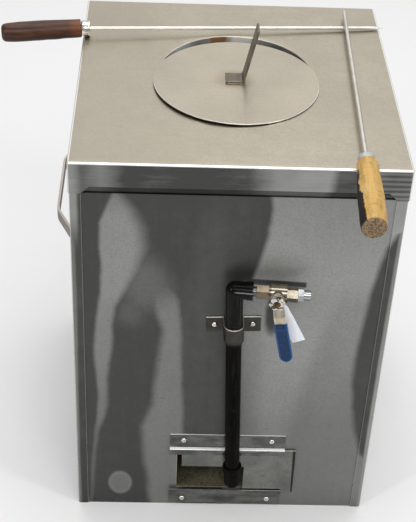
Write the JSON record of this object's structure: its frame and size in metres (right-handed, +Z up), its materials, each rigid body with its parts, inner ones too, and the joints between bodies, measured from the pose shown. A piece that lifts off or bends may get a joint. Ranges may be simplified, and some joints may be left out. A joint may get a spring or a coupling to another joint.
{
  "type": "pottery kiln",
  "caption": "Small gas-fired pottery kiln: stainless box with a lift-off lid, loose flue cover, side burner riser with lever valve, sliding air gate, carry handles and pokers.",
  "frame": {"origin": "middle of the casing's footprint, on the floor", "axes": "+Z up, -Y out of the front panel with the burner, +X to the right as the front is faced"},
  "size_m": [0.575, 0.5695, 0.6939],
  "materials": {
    "casing_steel": "satin stainless sheet, wavy",
    "lid_steel": "brushed stainless sheet",
    "strap_steel": "dull steel strip",
    "gate_steel": "bright stainless strip",
    "bright_steel": "polished steel",
    "black_iron": "black iron pipe, satin",
    "nickel_brass": "nickel-plated brass",
    "zinc": "zinc-plated steel",
    "seat_plastic": "white seat ring",
    "insulation": "speckled vermiculite insulation",
    "cordierite": "cordierite kiln furniture",
    "dark_wood": "dark reddish hardwood, oiled",
    "light_wood": "light yellow wood, worn",
    "blue_vinyl": "dipped blue vinyl",
    "card": "white card"
  },
  "bodies": {
    "kiln_body": {"casing_wrapper": "casing_steel", "front_panel": "casing_steel", "base_pan": "casing_steel", "floor_slab": "insulation", "lining_front": "insulation", "lining_back": "insulation", "lining_left": "insulation", "lining_right": "insulation", "wall_anchors": "cordierite", "kiln_shelf": "cordierite", "shelf_posts": "cordierite", "handle_left": "strap_steel", "handle_right": "strap_steel", "handle_rivets": "bright_steel", "top_rail": "gate_steel", "bottom_rail": "gate_steel", "rail_screws": "bright_steel", "pipe_clamp": "strap_steel", "clamp_screws": "bright_steel", "riser_pipe": "black_iron", "upper_elbow": "black_iron", "lower_elbow": "black_iron", "burner_tube": "black_iron", "burner_nozzle": "black_iron", "gas_jet": "nickel_brass", "close_nipple": "zinc", "valve_end": "nickel_brass", "valve_body": "nickel_brass", "valve_seats": "seat_plastic", "packing_nut": "bright_steel", "gas_nipple": "zinc"},
    "gate": {"air_gate": "gate_steel"},
    "valve_handle": {"valve_ball": "bright_steel", "valve_stem": "nickel_brass", "valve_lever": "bright_steel", "lever_sleeve": "blue_vinyl", "lever_nut": "bright_steel", "paper_tag": "card"},
    "lid": {"lid_shell": "lid_steel", "lid_lining": "insulation", "lid_anchors": "cordierite", "flue_collar": "bright_steel"},
    "flue_cover": {"cover_disc": "lid_steel", "cover_handle": "strap_steel"},
    "side_poker": {"side_poker_rod": "zinc", "side_poker_ferrule": "bright_steel", "side_poker_grip": "dark_wood"},
    "front_poker": {"front_poker_rod": "zinc", "front_poker_ferrule": "zinc", "front_poker_grip": "light_wood"}
  },
  "joints": [
    {"name": "gate_slide", "type": "slide", "parent": "kiln_body", "child": "gate", "axis": [1, 0, 0], "range_m": [-0.0049, 0.0716]},
    {"name": "valve_turn", "type": "hinge", "parent": "kiln_body", "child": "valve_handle", "pos_m": [0.05725, -0.24474, 0.43324], "axis": [-0.1391, -0.9903, -0.0056], "range_deg": [-9.4, 80.6]},
    {"name": "lid_lift", "type": "slide", "parent": "kiln_body", "child": "lid", "axis": [0, 0, 1], "range_m": [0, 0.25]},
    {"name": "cover_lift", "type": "slide", "parent": "lid", "child": "flue_cover", "axis": [0, 0, 1], "range_m": [0, 0.2]},
    {"name": "side_poker_draw", "type": "slide", "parent": "lid", "child": "side_poker", "axis": [-0.9949, -0.0993, 0.0193], "range_m": [0, 0.4]},
    {"name": "front_poker_lift", "type": "slide", "parent": "lid", "child": "front_poker", "axis": [0, 0, 1], "range_m": [0, 0.2]}
  ]
}
